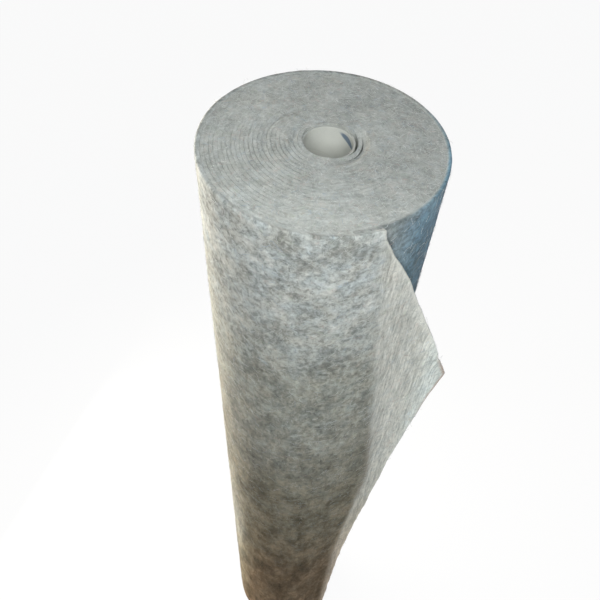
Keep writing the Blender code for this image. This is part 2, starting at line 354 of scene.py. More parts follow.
def felt():
    """Needle-punched felt: matt, in tufts of mixed grey staple that lies every way, with painted
    shade in the hollows between the tufts. The turned-out end is cleaner, combed downwards and
    painted lighter, and the handled side darkens to the middle and browns towards the foot,
    partly with grime and soil and partly as painted shade. Painted shade also lies along the fold
    where the loose end leaves the roll and on the side behind it, and painted light lies on the end
    face and round the left side."""
    made, tree, shader = new_finish("grey_felt")

    # A place on the felt is its distance along the strip from the hinge line, its height, and its
    # depth in the thickness. On the end face depth runs to the back, and along less depth to the
    # right.
    place = add_node(tree, "ShaderNodeAttribute", output="Vector", attribute_name="felt_place")
    along, height, depth = add_node(tree, "ShaderNodeSeparateXYZ", (place,), output=None)
    cut = add_node(tree, "ShaderNodeAttribute", output="Fac", attribute_name="cut_edge")
    turned_out = add_node(tree, "ShaderNodeAttribute", output="Fac", attribute_name="turned_out")

    def by_side(handled, turned):
        """One value on the handled side and another on the turned-out end."""
        return add_node(
            tree, "ShaderNodeMapRange", (turned_out, 0.0, 1.0, handled, turned),
            interpolation_type="SMOOTHSTEP",
        )

    # Over a cut edge the pattern runs on from the face, so the depth is taken from both.
    # It is drawn longer up and down towards the foot, which is seen steeply from above.
    across = add_node(tree, "ShaderNodeMath", (height, depth), operation="SUBTRACT")
    across = add_node(tree, "ShaderNodeMath", (across, 0.99), operation="MULTIPLY")
    across = add_node(tree, "ShaderNodeMath", (across,), operation="EXPONENT")
    across = add_node(tree, "ShaderNodeMath", (across, 0.20615), operation="MULTIPLY")
    over = add_node(tree, "ShaderNodeMath", (along, depth), operation="SUBTRACT")
    face = add_node(tree, "ShaderNodeCombineXYZ", (over, across))
    combed = add_node(tree, "ShaderNodeVectorMath", (face, (2.6, 0.32, 1.0)), operation="MULTIPLY")

    # How far up the soil, and the painted shade that darkens towards the foot, reach: less far
    # round the left side, away from the handling, in smears some 140 mm across.
    smear = add_node(
        tree, "ShaderNodeTexNoise",
        {"Vector": place, "Scale": 7.0, "Detail": 5.0, "Roughness": 0.65},
    )
    reached = add_node(tree, "ShaderNodeMath", (smear, -0.35, height), operation="MULTIPLY_ADD")
    cleaner = add_node(
        tree, "ShaderNodeMapRange", (height, 1.05, 0.62, 0.0, 0.62), interpolation_type="SMOOTHSTEP"
    )
    cleaner = add_node(
        tree, "ShaderNodeMapRange", (along, -0.09, -0.20, 0.0, cleaner),
        interpolation_type="SMOOTHSTEP",
    )
    reached = add_node(tree, "ShaderNodeMath", (reached, cleaner), operation="ADD")
    low = faded(tree, by_side(1.0, 0.3), reached, 1.2, 0.5)

    # The tufts are some 8 mm across and lie in patches of some 40 mm. A cut edge shows them end
    # on, so they are fainter there.
    tufts = []
    for scale, detail, roughness, bent, bent_combed in (
        (24.0, 2.0, 0.6, 0.0, 0.0), (120.0, 3.0, 0.75, 0.4, 0.3)
    ):
        loose = add_node(
            tree, "ShaderNodeTexNoise",
            {
                "Vector": face, "Scale": scale, "Detail": detail, "Roughness": roughness,
                "Distortion": bent,
            },
        )
        in_rows = add_node(
            tree, "ShaderNodeTexNoise",
            {
                "Vector": combed, "Scale": scale, "Detail": detail, "Roughness": roughness,
                "Distortion": bent_combed,
            },
        )
        tufts.append(add_node(tree, "ShaderNodeMix", {0: turned_out, 2: loose, 3: in_rows}))
    patches, tuft = tufts
    patchy = add_node(
        tree, "ShaderNodeMath", (low, 0.8, by_side(0.6, 0.3)), operation="MULTIPLY_ADD"
    )
    patch_level = add_node(tree, "ShaderNodeMath", (patches, 0.5), operation="SUBTRACT")
    tuft_level = add_node(tree, "ShaderNodeMath", (tuft, 0.5), operation="SUBTRACT")
    level = add_node(
        tree, "ShaderNodeMath", (patch_level, patchy, tuft_level), operation="MULTIPLY_ADD"
    )
    contrast = add_node(
        tree, "ShaderNodeMapRange", (cut, 0.0, 1.0, 0.86, 0.40), interpolation_type="SMOOTHSTEP"
    )
    softer = add_node(tree, "ShaderNodeMath", (turned_out, 0.16), operation="MULTIPLY")
    contrast = add_node(tree, "ShaderNodeMath", (contrast, softer), operation="SUBTRACT")
    contrast = faded(tree, contrast, low, 0.0, 1.0, 1.0, 0.7)
    level = add_node(tree, "ShaderNodeMath", (level, contrast, 0.5), operation="MULTIPLY_ADD")
    shade = add_node(tree, "ShaderNodeMapRange", (level, 0.22, 0.78))
    ground = add_node(tree, "ShaderNodeValToRGB", (shade,))
    set_stops(ground, ((0.0, "#5e605a"), (0.35, "#90928c"), (0.6, "#b1b3ad"), (1.0, "#d6d8d2")))
    # The hollows between them are some 5 mm across, darkened with painted shade.
    pits = add_node(
        tree, "ShaderNodeTexNoise",
        {"Vector": face, "Scale": 210.0, "Detail": 2.0, "Roughness": 0.6, "Distortion": 0.5},
    )
    squared = add_node(tree, "ShaderNodeMath", (contrast, contrast), operation="MULTIPLY")
    hollow = faded(tree, squared, pits, 0.50, 0.34, 0.0, 0.48)
    ground = add_node(
        tree, "ShaderNodeMix", {0: hollow, 6: ground, 7: "#4f504a"}, output=2, data_type="RGBA"
    )

    # Real staple is 0.03 mm thick. Here each fibre stands for a wisp of them, thick enough to
    # show from two metres: spacing, half length and half width in metres, and strength. The way
    # that they lie changes over some 70 mm.
    swirl = add_node(tree, "ShaderNodeTexNoise", {"Vector": face, "Scale": 14.0, "Detail": 1.0})
    lie = add_node(
        tree, "ShaderNodeMath", (swirl, by_side(4.5, 0.5), by_side(-1.3, 1.1)),
        operation="MULTIPLY_ADD",
    )
    spread = add_node(
        tree, "ShaderNodeMath", (cut, 0.6, by_side(2.6, 0.45)), operation="MULTIPLY_ADD"
    )
    group = lying_fibres()
    wisps = (
        (0.0190, 0.0150, 0.00120, 0.40),
        (0.0105, 0.0085, 0.00070, 0.60),
        (0.0080, 0.0062, 0.00055, 0.60),
        (0.0052, 0.0042, 0.00035, 0.50),
    )
    light = 0.0
    for k, (spacing, half_length, half_width, strength) in enumerate(wisps):
        laid = add_node(
            tree, "ShaderNodeGroup",
            {
                "Place": face, "Lie": lie, "Spread": spread, "Spacing": spacing,
                "Half Length": half_length, "Half Width": half_width, "Shift": 7.31 * (k + 1),
            },
            output=None, node_tree=group,
        )
        wisp = add_node(tree, "ShaderNodeMath", (laid["Fibre"], strength), operation="MULTIPLY")
        light = add_node(tree, "ShaderNodeMath", (wisp, light, 0.15), operation="SMOOTH_MAX")
    light = faded(tree, light, level, 0.35, 0.65, 0.3, 0.85)
    light = faded(tree, light, low, 0.0, 1.0, 1.0, 0.6)
    staple = add_node(tree, "ShaderNodeValToRGB", (laid["Own"],))
    set_stops(
        staple,
        (
            (0.0, "#c6c9c4"), (0.45, "#b6b9b5"), (0.72, "#d6d9d5"), (0.86, "#bfada6"),
            (0.91, "#a1b0c0"), (0.95, "#a8b59f"), (0.98, "#908171"),
        ),
        "CONSTANT",
    )
    fibred = add_node(
        tree, "ShaderNodeMix", {0: light, 6: ground, 7: staple}, output=2, data_type="RGBA"
    )

    # Faint tints, bluish and brownish, in patches of some 20 mm, because the felt is made from
    # mixed and recycled fibre.
    tint = add_node(
        tree, "ShaderNodeTexNoise", {"Vector": face, "Scale": 45.0, "Detail": 2.0, "Roughness": 0.7}
    )
    tint = add_node(tree, "ShaderNodeMapRange", (tint, 0.3, 0.7), interpolation_type="SMOOTHSTEP")
    tints = add_node(tree, "ShaderNodeValToRGB", (tint,))
    set_stops(tints, ((0.0, "#fefaf4"), (0.5, "#f8f9f8"), (1.0, "#f1f8fd")))
    tints_show = add_node(
        tree, "ShaderNodeMapRange", (cut, 0.0, 1.0, 0.7, 0.3), interpolation_type="SMOOTHSTEP"
    )
    tints_show = add_node(
        tree, "ShaderNodeMath", (turned_out, -0.4, tints_show), operation="MULTIPLY_ADD"
    )
    tinted = add_node(
        tree, "ShaderNodeMix", {0: tints_show, 6: fibred, 7: tints}, output=2, data_type="RGBA",
        blend_type="MULTIPLY",
    )

    # Grime and soil, with painted shade that darkens towards the foot, washed up the handled side
    # in ragged patches and taken up less by the turned-out end, with darker clods of some 15 mm at
    # the foot and a line of painted shade where the loose end creases.
    soil = add_node(tree, "ShaderNodeMapRange", (reached, 0.0, 1.6))
    soil_and_shade = add_node(tree, "ShaderNodeValToRGB", (soil,))
    set_stops(
        soil_and_shade,
        (
            (0.20, "#b49a82"), (0.33, "#bfad97"), (0.50, "#c1b7a4"), (0.71, "#dcd9cf"),
            (0.84, "#ffffff"),
        ),
    )
    taken = add_node(
        tree, "ShaderNodeMapRange", (height, 1.05, 0.65, 0.3, 0.75), interpolation_type="SMOOTHSTEP"
    )
    taken = by_side(1.0, taken)
    soiled_and_shaded = add_node(
        tree, "ShaderNodeMix", {0: taken, 6: tinted, 7: soil_and_shade}, output=2, data_type="RGBA",
        blend_type="MULTIPLY",
    )
    clods = add_node(
        tree, "ShaderNodeTexNoise",
        {"Vector": face, "Scale": 66.0, "Detail": 3.0, "Roughness": 0.7, "Distortion": 0.3},
    )
    clod = faded(tree, low, clods, 0.58, 0.34, 0.0, 0.42)
    soiled_and_shaded = add_node(
        tree, "ShaderNodeMix", {0: clod, 6: soiled_and_shaded, 7: "#4a3f2e"}, output=2, data_type="RGBA"
    )
    # Painted shade along the crease where the loose end leaves the roll.
    crease = add_node(tree, "ShaderNodeMath", (1.0, turned_out), operation="SUBTRACT")
    crease = add_node(tree, "ShaderNodeMath", (turned_out, crease), operation="MULTIPLY")
    crease = faded(tree, crease, height, 1.3, 1.05, 0.0, 1.3)
    crease = faded(tree, crease, height, 0.8, 1.0, 0.3, 1.0)
    soiled_and_shaded = add_node(
        tree, "ShaderNodeMix", {0: crease, 6: soiled_and_shaded, 7: "#6b5d49"}, output=2, data_type="RGBA"
    )

    # How light each part is, as painted light and shade: lighter towards the front right, a tenth
    # lighter round the left side, as a painted highlight where the left lamp's light falls, and
    # darker at the back, as painted shade.
    uncut = add_node(tree, "ShaderNodeMath", (1.0, cut), operation="SUBTRACT")
    gain = add_node(
        tree, "ShaderNodeMapRange", (along, -0.09, 0.03, 1.03, 1.11),
        interpolation_type="SMOOTHSTEP",
    )
    for start, end, change in ((-0.11, -0.19, 0.10), (-0.22, -0.32, -0.45)):
        change = add_node(
            tree, "ShaderNodeMapRange", (along, start, end, 0.0, change),
            interpolation_type="SMOOTHSTEP",
        )
        gain = add_node(tree, "ShaderNodeMath", (uncut, change, gain), operation="MULTIPLY_ADD")

    # Painted shade on the side behind the loose end: a dark bluish tint, nearly up to the rim,
    # whose lightness is raised here to balance the tint.
    painted_shade = add_node(tree, "ShaderNodeAttribute", output="Fac", attribute_name="painted_shade")
    painted_shade = add_node(tree, "ShaderNodeMath", (painted_shade, uncut), operation="MULTIPLY")
    painted_shade = faded(tree, painted_shade, height, 1.6, 1.585, 0.75, 1.0)
    gain = add_node(tree, "ShaderNodeMath", (painted_shade, 0.43, gain), operation="MULTIPLY_ADD")

    # The end face is painted lighter at its left, at the front and at its right rim: painted light.
    end_face_light = add_node(
        tree, "ShaderNodeMapRange", (over, -1.14, -0.92, 0.17, 0.02),
        interpolation_type="SMOOTHSTEP",
    )
    for side, start, end in ((depth, -0.03, -0.12), (over, -0.88, -0.84)):
        lighter = add_node(
            tree, "ShaderNodeMapRange", (side, start, end, 0.0, 0.20),
            interpolation_type="SMOOTHSTEP",
        )
        end_face_light = add_node(tree, "ShaderNodeMath", (end_face_light, lighter), operation="ADD")
    gain = add_node(tree, "ShaderNodeMath", (cut, end_face_light, gain), operation="MULTIPLY_ADD")

    # The turned-out end is painted lighter, the more so towards its cut edge and its foot, and its
    # upper tip carries a pale bluish painted highlight.
    inside = add_node(
        tree, "ShaderNodeMapRange", (along, 0.03, 0.15, 0.30, 0.92), interpolation_type="SMOOTHSTEP"
    )
    gain = add_node(tree, "ShaderNodeMath", (turned_out, inside, gain), operation="MULTIPLY_ADD")
    tip_highlight = faded(tree, turned_out, along, 0.105, 0.14)
    tip_highlight = faded(tree, tip_highlight, height, 1.0, 1.2)
    gain = add_node(tree, "ShaderNodeMath", (tip_highlight, 0.32, gain), operation="MULTIPLY_ADD")
    lower_end = faded(tree, turned_out, height, 1.0, 0.6, 0.0, 0.95)
    gain = add_node(tree, "ShaderNodeMath", (gain, lower_end), operation="ADD")

    colour = add_node(tree, "ShaderNodeVectorMath", {0: soiled_and_shaded, "Scale": gain}, operation="SCALE")
    # The turned-out end's painted light is a little warm, and the tip's painted highlight a little
    # blue.
    colour = add_node(
        tree, "ShaderNodeMix", {0: turned_out, 6: colour, 7: "#fffaf5"}, output=2, data_type="RGBA",
        blend_type="MULTIPLY",
    )
    colour = add_node(
        tree, "ShaderNodeMix", {0: tip_highlight, 6: colour, 7: "#f5fbff"}, output=2, data_type="RGBA",
        blend_type="MULTIPLY",
    )
    # The painted shade's dark bluish tint.
    painted_shade_tint = add_node(tree, "ShaderNodeValToRGB", (painted_shade,))
    set_stops(painted_shade_tint, ((0.0, "#ffffff"), (0.45, "#b3dffc"), (1.0, "#719cbb")))
    colour = add_node(
        tree, "ShaderNodeMix", {0: 1.0, 6: colour, 7: painted_shade_tint}, output=2, data_type="RGBA",
        blend_type="MULTIPLY",
    )
    # The cut edge is brown with soil at the tip.
    tip = faded(tree, cut, along, 0.13, 0.160, 0.0, 0.8)
    colour = add_node(
        tree, "ShaderNodeMix", {0: tip, 6: colour, 7: "#a57b5f"}, output=2, data_type="RGBA"
    )
    tree.links.new(colour, shader.inputs["Base Color"])

    # Matt, with the faint sheen of loose fibre where no soil has matted it.
    shader.inputs["Roughness"].default_value = 1.0
    shader.inputs["Specular IOR Level"].default_value = 0.04
    sheen = add_node(
        tree, "ShaderNodeMapRange", (low, 0.0, 1.0, 0.12, 0.0), interpolation_type="SMOOTHSTEP"
    )
    tree.links.new(sheen, shader.inputs["Sheen Weight"])
    shader.inputs["Sheen Roughness"].default_value = 0.6
    relief = add_node(
        tree, "ShaderNodeMath", (tuft, by_side(1.5, 0.6), light), operation="MULTIPLY_ADD"
    )
    relief = add_node(tree, "ShaderNodeMath", (hollow, -0.6, relief), operation="MULTIPLY_ADD")
    bump = add_node(tree, "ShaderNodeBump", {"Height": relief, "Strength": 0.5, "Distance": 0.0015})
    tree.links.new(bump, shader.inputs["Normal"])
    return made


grey_felt = felt()

inner_turns_path = bpy.data.curves.new("inner_turns", "CURVE")
inner_turns_path.dimensions = "3D"
spline = inner_turns_path.splines.new("POLY")
steps_in_turn = 140
steps = math.ceil((under_lap - start_angle) / full_turn * steps_in_turn)
spline.points.add(steps)
for k, point in enumerate(spline.points):
    angle = start_angle + (under_lap - start_angle) * k / steps
    at = turn_middle(angle) + on_bearing(wound_radius(angle), angle)
    point.co = (*at, 1)
inner_turns = bpy.data.objects.new("inner_turns", inner_turns_path)
bpy.context.scene.collection.objects.link(inner_turns)


def new_tree(name, sizes, **others):
    """A Geometry Nodes tree with one mesh or curve going in, and its named inputs."""
    tree = bpy.data.node_groups.new(name, "GeometryNodeTree")
    tree.interface.new_socket("Geometry", in_out="INPUT", socket_type="NodeSocketGeometry")
    tree.interface.new_socket("Geometry", in_out="OUTPUT", socket_type="NodeSocketGeometry")
    for size in sizes:
        tree.interface.new_socket(size, in_out="INPUT", socket_type="NodeSocketFloat")
    for other, kind in others.items():
        tree.interface.new_socket(other, in_out="INPUT", socket_type="NodeSocket" + kind)
    return tree, add_node(tree, "NodeGroupInput", output=None)


def finish_tree(tree, geometry, finish):
    """The end of every tree: instances made real and the material set."""
    real = add_node(tree, "GeometryNodeRealizeInstances", {0: geometry})
    done = add_node(tree, "GeometryNodeSetMaterial", {"Geometry": real, "Material": finish})
    add_node(tree, "NodeGroupOutput", (done,), output=None)


strip, given = new_tree(
    "wound_strip",
    ("Width", "Thickness", "Uneven Winding", "Ragged Edge", "Sunken Seam"),
    Finish="Material",
)
lengthwise = add_node(strip, "GeometryNodeSplineParameter", output="Length")
measured = add_node(
    strip, "GeometryNodeStoreNamedAttribute",
    {"Geometry": given["Geometry"], "Name": "along", "Value": lengthwise},
)
upright = add_node(strip, "GeometryNodeSetCurveNormal", {"Curve": measured}, mode="Z_UP")
section = add_node(
    strip, "GeometryNodeCurvePrimitiveQuadrilateral",
    {"Width": given["Thickness"], "Height": given["Width"]},
)
# The two cut edges are divided, so that they can be ragged and sink towards the next turn.
side_number = add_node(strip, "GeometryNodeInputIndex")
odd = add_node(strip, "ShaderNodeMath", (side_number, 2), operation="MODULO")
cuts = add_node(strip, "ShaderNodeMath", (odd, -4, 4), operation="MULTIPLY_ADD")
divided = add_node(strip, "GeometryNodeSubdivideCurve", {"Curve": section, "Cuts": cuts})
here = add_node(strip, "GeometryNodeInputPosition")
off_middle = add_node(strip, "ShaderNodeSeparateXYZ", (here,))
off_middle = add_node(strip, "ShaderNodeMath", (off_middle, given["Thickness"]), operation="DIVIDE")
off_middle = add_node(strip, "ShaderNodeMath", (off_middle, 2.0), operation="MULTIPLY")
profile = add_node(
    strip, "GeometryNodeStoreNamedAttribute",
    {"Geometry": divided, "Name": "from_middle", "Value": off_middle},
)
half_width = add_node(strip, "ShaderNodeMath", (given["Width"], 0.5), operation="MULTIPLY")
half_up = add_node(strip, "ShaderNodeCombineXYZ", (0.0, 0.0, half_width))
body = add_node(
    strip, "GeometryNodeCurveToMesh",
    {"Curve": upright, "Profile Curve": profile, "Fill Caps": True},
)
stood = add_node(strip, "GeometryNodeSetPosition", {"Geometry": body, "Offset": half_up})
x, y, height = add_node(strip, "ShaderNodeSeparateXYZ", (here,), output=None)
# Fuzz bridges the turns, so the felt's pattern runs straight on from turn to turn on the end.
to_right = add_node(strip, "ShaderNodeMath", (x, y), operation="ADD")
to_right = add_node(strip, "ShaderNodeMath", (to_right, 1.0), operation="SUBTRACT")
felt_place = add_node(strip, "ShaderNodeCombineXYZ", (to_right, height, y))
placed = add_node(
    strip, "GeometryNodeStoreNamedAttribute",
    {"Geometry": stood, "Name": "felt_place", "Value": felt_place},
    data_type="FLOAT_VECTOR",
)
from_top = add_node(strip, "ShaderNodeMath", (given["Width"], height), operation="SUBTRACT")
# Both marks fade out a little way down from the top.
for name, fades_over in (("cut_edge", 0.003), ("outside", 0.0005)):
    near_top = add_node(strip, "ShaderNodeMapRange", (from_top, fades_over, 0.0))
    placed = add_node(
        strip, "GeometryNodeStoreNamedAttribute",
        {"Geometry": placed, "Name": name, "Value": near_top},
    )
# Each turn lies a little higher or lower than the next, and the cut edge is ragged, with nicks
# some 4 mm apart.
wound_along = add_node(strip, "GeometryNodeInputNamedAttribute", ("along",))
uneven = add_node(
    strip, "ShaderNodeTexNoise", {"W": wound_along, "Scale": 3.1, "Detail": 1.0},
    noise_dimensions="1D",
)
uneven = add_node(strip, "ShaderNodeMath", (uneven, 0.8), operation="SUBTRACT")
uneven = add_node(strip, "ShaderNodeMath", (uneven, given["Uneven Winding"]), operation="MULTIPLY")
ragged = add_node(strip, "ShaderNodeTexNoise", {"Vector": here, "Scale": 260.0, "Detail": 2.0})
ragged = add_node(strip, "ShaderNodeMath", (ragged, 0.5), operation="SUBTRACT")
ragged = add_node(strip, "ShaderNodeMath", (ragged, given["Ragged Edge"]), operation="MULTIPLY")
# The seam between two turns shows here and there, for some 20 mm, where no fuzz bridges it.
seam_shows = add_node(strip, "ShaderNodeTexNoise", {"Vector": here, "Scale": 50.0, "Detail": 1.0})
seam_shows = add_node(strip, "ShaderNodeMapRange", (seam_shows, 0.45, 0.72))
to_seam = add_node(strip, "GeometryNodeInputNamedAttribute", ("from_middle",))
to_seam = add_node(strip, "ShaderNodeMath", (to_seam, 4.0), operation="POWER")
sunk = add_node(strip, "ShaderNodeMath", (to_seam, seam_shows), operation="MULTIPLY")
sunk = add_node(strip, "ShaderNodeMath", (sunk, given["Sunken Seam"]), operation="MULTIPLY")
rise = add_node(strip, "ShaderNodeMath", (uneven, ragged), operation="ADD")
rise = add_node(strip, "ShaderNodeMath", (rise, sunk), operation="SUBTRACT")
upper_edge = add_node(strip, "ShaderNodeMath", (height, 0.5), operation="GREATER_THAN")
lifted = add_node(strip, "ShaderNodeCombineXYZ", (0.0, 0.0, rise))
edged = add_node(
    strip, "GeometryNodeSetPosition",
    {"Geometry": placed, "Selection": upper_edge, "Offset": lifted},
)
smooth = add_node(strip, "GeometryNodeSetShadeSmooth", {"Geometry": edged})
edge_angle = add_node(strip, "GeometryNodeInputMeshEdgeAngle")
sharp = add_node(strip, "ShaderNodeMath", (edge_angle, 0.9), operation="GREATER_THAN")
creased = add_node(
    strip, "GeometryNodeSetShadeSmooth",
    {"Geometry": smooth, "Selection": sharp, "Shade Smooth": False},
    domain="EDGE",
)
finish_tree(strip, creased, given["Finish"])


def run_tree(piece, tree, values):
    """Runs a tree on a piece and leaves the plain mesh that it makes, under the same name."""
    modifier = piece.modifiers.new(tree.name, "NODES")
    modifier.node_group = tree
    for socket in tree.interface.items_tree:
        if socket.in_out == "INPUT" and socket.name in values:
            modifier[socket.identifier] = values[socket.name]
    piece.update_tag()
    graph = bpy.context.evaluated_depsgraph_get()
    mesh = bpy.data.meshes.new_from_object(
        piece.evaluated_get(graph), preserve_all_data_layers=True, depsgraph=graph
    )
    name = piece.name
    bpy.data.objects.remove(piece)
    made = bpy.data.objects.new(name, mesh)
    bpy.context.scene.collection.objects.link(made)
    return made


inner_turns = run_tree(
    inner_turns,
    strip,
    {
        "Width": roll_height,
        "Thickness": 0.00415,  # the fibres stand out into the gap that the solids keep
        "Uneven Winding": 0.0002,
        "Ragged Edge": 0.0009,
        "Sunken Seam": 0.0003,
        "Finish": grey_felt,
    },
)
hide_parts("wound_felt")


# Soft grooves where slack turns have slipped down into the roll: the middle that they bend round,
# bearing, reach to each side, radius, half width and depth.
grooves = (
    (tube_middle, 70, 70, 0.0325, 0.0090, 0.0060),
    (tube_middle, 262, 60, 0.0360, 0.0040, 0.0012),
    (axis, 240, 60, 0.0625, 0.0050, 0.0016),
)


def slipped(place):
    """How far the turns have slipped down at a place on the end face."""
    depth = 0
    for middle, bearing, reach, radius, half_width, deepest in grooves:
        out = (place - middle).to_2d()
        turned = math.atan2(out.x, -out.y) - math.radians(bearing)
        beside = abs((turned + math.pi) % full_turn - math.pi) / math.radians(reach)
        apart = abs(out.length - radius) / half_width
        if beside < 1 and apart < 1:
            depth += deepest * math.cos(beside * math.pi / 2) * math.cos(apart * math.pi / 2)
    return depth


for vert in inner_turns.data.vertices:
    if vert.co.z > roll_height / 2:
        vert.co.z -= slipped(vert.co)


# The outermost turn and the loose end of the same strip. The turn is seen from all sides, so it
# is two sheets that meet at a butt line at the back: the back half lies on the roll, and the
# front half runs on into the loose end, which is cut to a tip and swings out from the roll.

leave_bearing = math.radians(26)  # where the loose end leaves the turn beneath it
set_radius = 1.080  # the bend that the felt keeps after it has left the roll
rim_reach = 0.0105  # along the felt, from the hinge line to the cut edge: at the top,
tip_reach = 0.168  # at the tip
foot_reach = 0.068  # and at the floor
tip_drop = 0.338  # the tip lies this far below the top of the roll
foot_lift = 0.001  # the loose end hangs this far clear of the floor
upper_edge_power = 0.855  # the upper edge is cut nearly straight
lower_edge_power = 2.6  # the lower edge sweeps back in towards the roll
outer_side = felt_thickness / 2
inner_side = 0.0021  # fuzz fills the gap to the turn below
edge_round = 0.0006
rows_to_tip, rows_to_foot = 56, 210
butt_line = -0.405  # along the felt, from the hinge line
even_from = -0.136  # past this the columns spread out to follow the cut edge
cut_columns = 50
cut_depth = 0.003  # a cut edge looks cut for this far
# The end was cut by hand. The cut wavers slowly and quickly, a little short of the reach, hollows
# out below the tip, leaves a corner on at the rim and runs true at the tip.
slow_waver, quick_waver, cut_short = 0.0024, 0.0011, 0.0012
hollow_depth, hollow_length = 0.008, 0.42
corner_reach, corner_height = 0.0085, 0.025
true_at_tip = 0.04
# Past the hinge line the felt comes free, folds softly and curls out at its cut edge.
free_from, free_over = 0.012, 0.06
fold_depth, curl_width, curl_height = 0.0032, 0.020, 0.0030
# The turned-out end's painted light fades in over this same length.
turn_out_fade = 0.016  # the grime ends over this length


def plan_at(along):
    """The middle of the felt in plan, and the bearing that it faces, at a distance along it."""
    lap = (leave_bearing - hinge_bearing) * end_radius
    if along <= lap:
        angle = hinge_bearing + along / end_radius
        return turn_middle(angle) + on_bearing(even_radius(angle), angle), angle
    faces = leave_bearing + (along - lap) / set_radius
    centre = axis + on_bearing(even_radius(leave_bearing) - set_radius, leave_bearing)
    return centre + on_bearing(set_radius, faces), faces


def reach_at(drop):
    """How far the felt reaches past the hinge line, at a depth below the top of the roll."""
    if drop <= tip_drop:
        return rim_reach + (tip_reach - rim_reach) * (drop / tip_drop) ** upper_edge_power
    share = (1 - (drop - tip_drop) / (roll_height - tip_drop)) ** lower_edge_power
    return foot_reach + (tip_reach - foot_reach) * share


def cut_line(drop):
    """The cut end of the felt: the reach, with the wander of a hand-held knife off the tip."""
    waver = slow_waver * wander(Vector((drop * 19, 0, 3.7)))
    waver += quick_waver * wander(Vector((drop * 63, 0, 9)))
    below_tip = within_one((drop - tip_drop) / hollow_length) ** 0.6
    waver -= cut_short + 4 * hollow_depth * below_tip * (1 - below_tip)
    corner = corner_reach * max(0, 1 - drop / corner_height) ** 2
    return reach_at(drop) + corner + waver * min(1, abs(drop - tip_drop) / true_at_tip)


def stands_off(along, drop):
    """How far soft folds and the curl of the cut edge move the loose end outwards."""
    free = within_one((along - free_from) / free_over)
    fold = fold_depth * free ** 2 * wander(Vector((along * 24, drop * 2.6, 1.3)))
    curl = max(0, 1 - (cut_line(drop) - along) / curl_width) ** 2
    return fold + curl_height * free * curl


def painted_shade_share(bearing):
    """How much painted shade lies on the turn below, at a bearing in degrees: most on the right
    side, behind the loose end. It fades out further back."""
    return within_one(0.45 + (bearing - 50) / 60) * within_one((135 - bearing) / 55)


def turned_out_from(height):
    """How far past the hinge line the turned-out end's cleaner, painted-lighter felt begins: grime
    reached on to the turned-out end.
    """
    if height > 1.0:
        return 0.082 - 0.067 * (height - 1.0) / 0.6
    return 0.058 + 0.024 * max(0, (height - 0.6) / 0.4)


def sheet_piece(name, alongs_of):
    """A closed sheet of felt with eased edges. alongs_of gives a row's places along the felt."""
    drops = [tip_drop * k / rows_to_tip for k in range(rows_to_tip)]
    drops += [
        tip_drop + (roll_height - tip_drop) * k / rows_to_foot for k in range(rows_to_foot + 1)
    ]
    bm = bmesh.new()
    place_layer = bm.verts.layers.float_vector.new("felt_place")
    outside_layer, cut_layer, turned_layer, painted_shade_layer = (
        bm.verts.layers.float.new(layer)
        for layer in ("outside", "cut_edge", "turned_out", "painted_shade")
    )
    grid = []
    for drop in drops:
        height = roll_height - drop
        row = []
        for along in alongs_of(drop):
            middle, faces = plan_at(along)
            # The foot rises clear of the floor over the first 30 mm and the lowest 100 mm.
            lift = foot_lift * within_one(along / 0.03) * within_one(1 - height / 0.1)
            moved_out = stands_off(along, drop)
            from_cut = cut_line(drop) - along
            turned_share = within_one((along - turned_out_from(height)) / turn_out_fade + 0.5)
            both = []
            for side in (-inner_side, outer_side):
                out = on_bearing(side + moved_out, faces)
                vert = bm.verts.new(middle + out + Vector((0, 0, height + lift)))
                vert[place_layer] = (along, vert.co.z, side)
                vert[outside_layer] = side > 0
                # At the rim only the inner side looks cut; the outer keeps its face to the top.
                to_cut = from_cut if side > 0 else min(drop, from_cut)
                vert[cut_layer] = max(0, 1 - to_cut / cut_depth)
                vert[turned_layer] = turned_share
                # Painted shade: a dark bluish tint on the turn behind the loose end.
                vert[painted_shade_layer] = painted_shade_share(math.degrees(faces) + 360)
                both.append(vert)
            row.append(both)
        grid.append(row)
    last_row, last_column = len(grid) - 1, len(grid[0]) - 1
    for i in range(last_row):
        for j in range(last_column):
            a, b, c, d = grid[i][j], grid[i][j + 1], grid[i + 1][j + 1], grid[i + 1][j]
            bm.faces.new((a[1], d[1], c[1], b[1]))
            bm.faces.new((a[0], b[0], c[0], d[0]))
    borders = []
    for j in range(last_column):
        a, b = grid[0][j], grid[0][j + 1]
        borders.append(bm.faces.new((a[0], a[1], b[1], b[0])))
        a, b = grid[last_row][j], grid[last_row][j + 1]
        borders.append(bm.faces.new((a[1], a[0], b[0], b[1])))
    cut_end = []
    for i in range(last_row):
        a, b = grid[i][0], grid[i + 1][0]
        cut_end.append(bm.faces.new((a[1], a[0], b[0], b[1])))
        a, b = grid[i][last_column], grid[i + 1][last_column]
        cut_end.append(bm.faces.new((a[0], a[1], b[1], b[0])))
    bm.normal_update()
    sharp = {
        edge
        for face in borders + (cut_end[1::2] if name == "loose_end" else [])
        for edge in face.edges
        if abs(edge.calc_face_angle(0)) > 1
        and (face in cut_end or all(vert[outside_layer] > 0.5 for vert in edge.verts))
    }
    bmesh.ops.bevel(
        bm, geom=list(sharp), offset=edge_round, segments=3, profile=0.5, affect="EDGES"
    )
    mesh = bpy.data.meshes.new(name)
    bm.to_mesh(mesh)
    bm.free()
    mesh.shade_smooth()
    mesh.set_sharp_from_angle(angle=math.radians(50))
    made = bpy.data.objects.new(name, mesh)
    bpy.context.scene.collection.objects.link(made)
    return made


